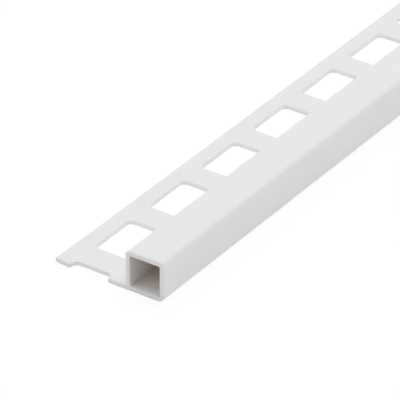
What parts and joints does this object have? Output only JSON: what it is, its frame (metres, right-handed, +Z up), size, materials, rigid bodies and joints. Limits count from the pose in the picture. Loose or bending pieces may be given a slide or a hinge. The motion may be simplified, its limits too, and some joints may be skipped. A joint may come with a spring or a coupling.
{
  "type": "tile edge trim",
  "caption": "Straight white plastic tile edge trim: a hollow square tube with rounded edges beside a thin leg punched with a row of rounded windows, which is bedded under the tile.",
  "frame": {"origin": "the middle of the trim's underside, half way along it and half way across its full width", "axes": "+X along the trim, away from the end that is cut through a window; +Y from the tube's outer face towards the leg's free edge; +Z up from the underside that is bedded on the wall or floor"},
  "size_m": [2.5, 0.0288, 0.01],
  "materials": {
    "white_plastic": "satin"
  },
  "bodies": {
    "root": {"trim_profile": "white_plastic"}
  },
  "joints": []
}
